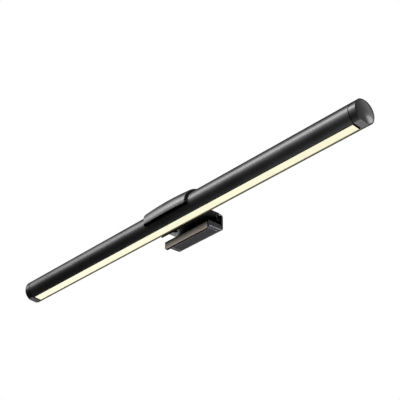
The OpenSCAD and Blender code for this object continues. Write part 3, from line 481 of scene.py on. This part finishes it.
def wirePiece(name, points, radius, material):
    curve = bpy.data.curves.new(name, "CURVE")
    curve.dimensions = "3D"
    curve.bevel_depth = radius
    curve.bevel_resolution = 5
    curve.use_fill_caps = True
    spline = curve.splines.new("POLY")
    spline.points.add(len(points) - 1)
    for target, point in zip(spline.points, points):
        target.co = (*point, 1.0)
    spline.use_smooth = True
    curve.materials.append(material)
    piece = bpy.data.objects.new(name, curve)
    bpy.context.scene.collection.objects.link(piece)
    return piece


def coilPoint(x, angle):
    return (x, hingeAxis.y + spring["coil"] * math.cos(angle), hingeAxis.z + spring["coil"] * math.sin(angle))


springLow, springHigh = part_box("torsion_springs")
outerX = springHigh.x - spring["wire"]
legEnd = springLow.y
for side, sideName in ((1.0, "right"), (-1.0, "left")):
    count = spring["turns"] * spring["steps"]
    run = outerX - spring["inner"]
    total = count + spring["steps"] // 4  # a last quarter turn down to the lower leg
    coilLine = [(side * outerX, legEnd, hingeAxis.z + spring["coil"])]
    for i in range(count + 1):
        x, y, z = coilPoint(outerX - run * i / total, math.pi / 2 - 2 * math.pi * i / spring["steps"])
        coilLine.append((side * x, y, z))
    coilPiece = wirePiece("spring_coil_" + sideName, coilLine, spring["wire"], springSteel)
    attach(coilPiece, "bracket")
    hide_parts("torsion_springs")
    # the last quarter turn and the lower leg go with the jaw
    legLine = []
    for i in range(count, total + 1):
        x, y, z = coilPoint(outerX - run * i / total, math.pi / 2 - 2 * math.pi * i / spring["steps"])
        legLine.append((side * x, y, z))
    legLine.append((side * spring["inner"], hingeAxis.y + spring["coil"], hingeAxis.z - spring["lowerLeg"]))
    legPiece = wirePiece("spring_leg_" + sideName, legLine, spring["wire"], springSteel)
    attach(legPiece, "jaw")
print("springs wound")

# room, lights and camera

room = {"floorDrop": 1.35, "floorSize": 60.0, "floorColour": (0.90, 0.90, 0.90), "air": 0.80}


def backgroundRays(tree):
    # 1 where the background is looked at: straight, in a reflection or through glass
    path = tree.nodes.new("ShaderNodeLightPath")
    seen = mathNode(tree, "MAXIMUM", path.outputs["Is Camera Ray"], path.outputs["Is Glossy Ray"])
    return mathNode(tree, "MAXIMUM", seen, path.outputs["Is Transmission Ray"])


world = bpy.data.worlds.new("studioAir")
bpy.context.scene.world = world
world.use_nodes = True
airTree = world.node_tree
airTree.nodes.clear()
airBack = airTree.nodes.new("ShaderNodeBackground")
airBack.inputs["Color"].default_value = (1.0, 1.0, 1.0, 1.0)
airBack.inputs["Strength"].default_value = room["air"]
whiteBack = airTree.nodes.new("ShaderNodeBackground")
whiteBack.inputs["Color"].default_value = (1.0, 1.0, 1.0, 1.0)
whiteBack.inputs["Strength"].default_value = 1.0
airMix = airTree.nodes.new("ShaderNodeMixShader")
airOut = airTree.nodes.new("ShaderNodeOutputWorld")
airTree.links.new(backgroundRays(airTree), airMix.inputs["Fac"])
airTree.links.new(airBack.outputs[0], airMix.inputs[1])
airTree.links.new(whiteBack.outputs[0], airMix.inputs[2])
airTree.links.new(airMix.outputs[0], airOut.inputs["Surface"])

floorMesh = bpy.data.meshes.new("floorMesh")
floorForm = bmesh.new()
bmesh.ops.create_grid(floorForm, x_segments=8, y_segments=8, size=room["floorSize"] / 2)
floorForm.to_mesh(floorMesh)
floorForm.free()
floor = bpy.data.objects.new("studio_floor", floorMesh)
floor.location = (0.0, 0.0, cadLow.z - room["floorDrop"])
bpy.context.scene.collection.objects.link(floor)
floorMaterial, floorTree, floorShader = newMaterial("floorPale")
floorShader.inputs["Base Color"].default_value = (*room["floorColour"], 1.0)
floorShader.inputs["Roughness"].default_value = 0.9
floorMesh.materials.append(floorMaterial)

lamps = [
    {"name": "longSoftbox", "toward": (-0.531, -0.567, 0.641),
     "distance": 1.5, "long": 1.55, "wide": 0.42, "watts": 49.0},
    {"name": "sideSoftbox", "toward": (0.55, 0.76, 0.28),
     "distance": 1.5, "long": 0.5, "wide": 0.5, "watts": 5.0},
    {"name": "backReflector", "toward": (-0.80, 0.43, -0.56),
     "distance": 1.35, "long": 1.5, "wide": 0.7, "watts": 15.0},
    {"name": "chamferLamp", "toward": (0.47, 0.57, -0.68),
     "distance": 1.2, "long": 0.25, "wide": 0.25, "watts": 15.0},
    {"name": "lowFill", "toward": (0.05, -0.45, -0.80),
     "distance": 1.2, "long": 2.0, "wide": 0.6, "watts": 6.0},
]


def addLamp(lamp):
    data = bpy.data.lights.new(lamp["name"], "AREA")
    data.shape = "RECTANGLE"
    data.size = lamp["long"]
    data.size_y = lamp["wide"]
    data.energy = lamp["watts"]
    back = Vector(lamp["toward"]).normalized()
    along = (Vector((1.0, 0.0, 0.0)) - back * back.x).normalized()
    across = back.cross(along)
    piece = bpy.data.objects.new(lamp["name"], data)
    piece.matrix_world = Matrix.Translation(barAxis + back * lamp["distance"]) @ Matrix(
        (along, across, back)).transposed().to_4x4()
    bpy.context.scene.collection.objects.link(piece)
    piece.visible_camera = False


for lamp in lamps:
    addLamp(lamp)

# black cards: one keeps the underside of the bar dark in its reflections, one the ends of the hood
cards = [
    {"name": "studio_card", "toward": (-0.676, -0.60, -0.44), "distance": 1.0, "long": 1.7, "high": 1.4},
    {"name": "studio_side_card", "toward": (0.85, -0.46, 0.31), "distance": 0.9, "long": 1.3, "high": 1.3},
]
cardMaterial, cardTree, cardShader = newMaterial("cardBlack")
cardShader.inputs["Base Color"].default_value = (0.035, 0.035, 0.035, 1.0)
cardShader.inputs["Roughness"].default_value = 1.0
cardShader.inputs["Specular IOR Level"].default_value = 0.0


def addCard(card):
    form = bmesh.new()
    bmesh.ops.create_grid(form, x_segments=4, y_segments=4, size=0.5)
    mesh = bpy.data.meshes.new(card["name"] + "_mesh")
    form.to_mesh(mesh)
    form.free()
    mesh.materials.append(cardMaterial)
    back = Vector(card["toward"]).normalized()
    along = Vector((-back.y, back.x, 0.0)).normalized()
    piece = bpy.data.objects.new(card["name"], mesh)
    piece.matrix_world = Matrix.Translation(barAxis + back * card["distance"]) @ Matrix(
        (along * card["long"], back.cross(along) * card["high"], back)).transposed().to_4x4()
    bpy.context.scene.collection.objects.link(piece)
    piece.visible_camera = False


for card in cards:
    addCard(card)

cameraView = {
    "azimuth": 48.59, "elevation": -28.93, "distance": 0.9885, "lens": 98.9, "aim": (0.0199, 0.0124, 0.0121),
}
azimuth = math.radians(cameraView["azimuth"])
elevation = math.radians(cameraView["elevation"])
backward = Vector((
    math.sin(azimuth) * math.cos(elevation), -math.cos(azimuth) * math.cos(elevation), math.sin(elevation),
))
cameraData = bpy.data.cameras.new("camera")
cameraData.lens = cameraView["lens"]
cameraData.sensor_width = 36.0
cameraData.clip_start = 0.01
camera = bpy.data.objects.new("camera", cameraData)
camera.location = barAxis + Vector(cameraView["aim"]) + backward * cameraView["distance"]
camera.rotation_mode = "QUATERNION"
camera.rotation_quaternion = (-backward).to_track_quat("-Z", "Y")
bpy.context.scene.collection.objects.link(camera)
bpy.context.scene.camera = camera
bpy.context.scene.view_settings.view_transform = "Standard"
print("room, lights and camera ready")
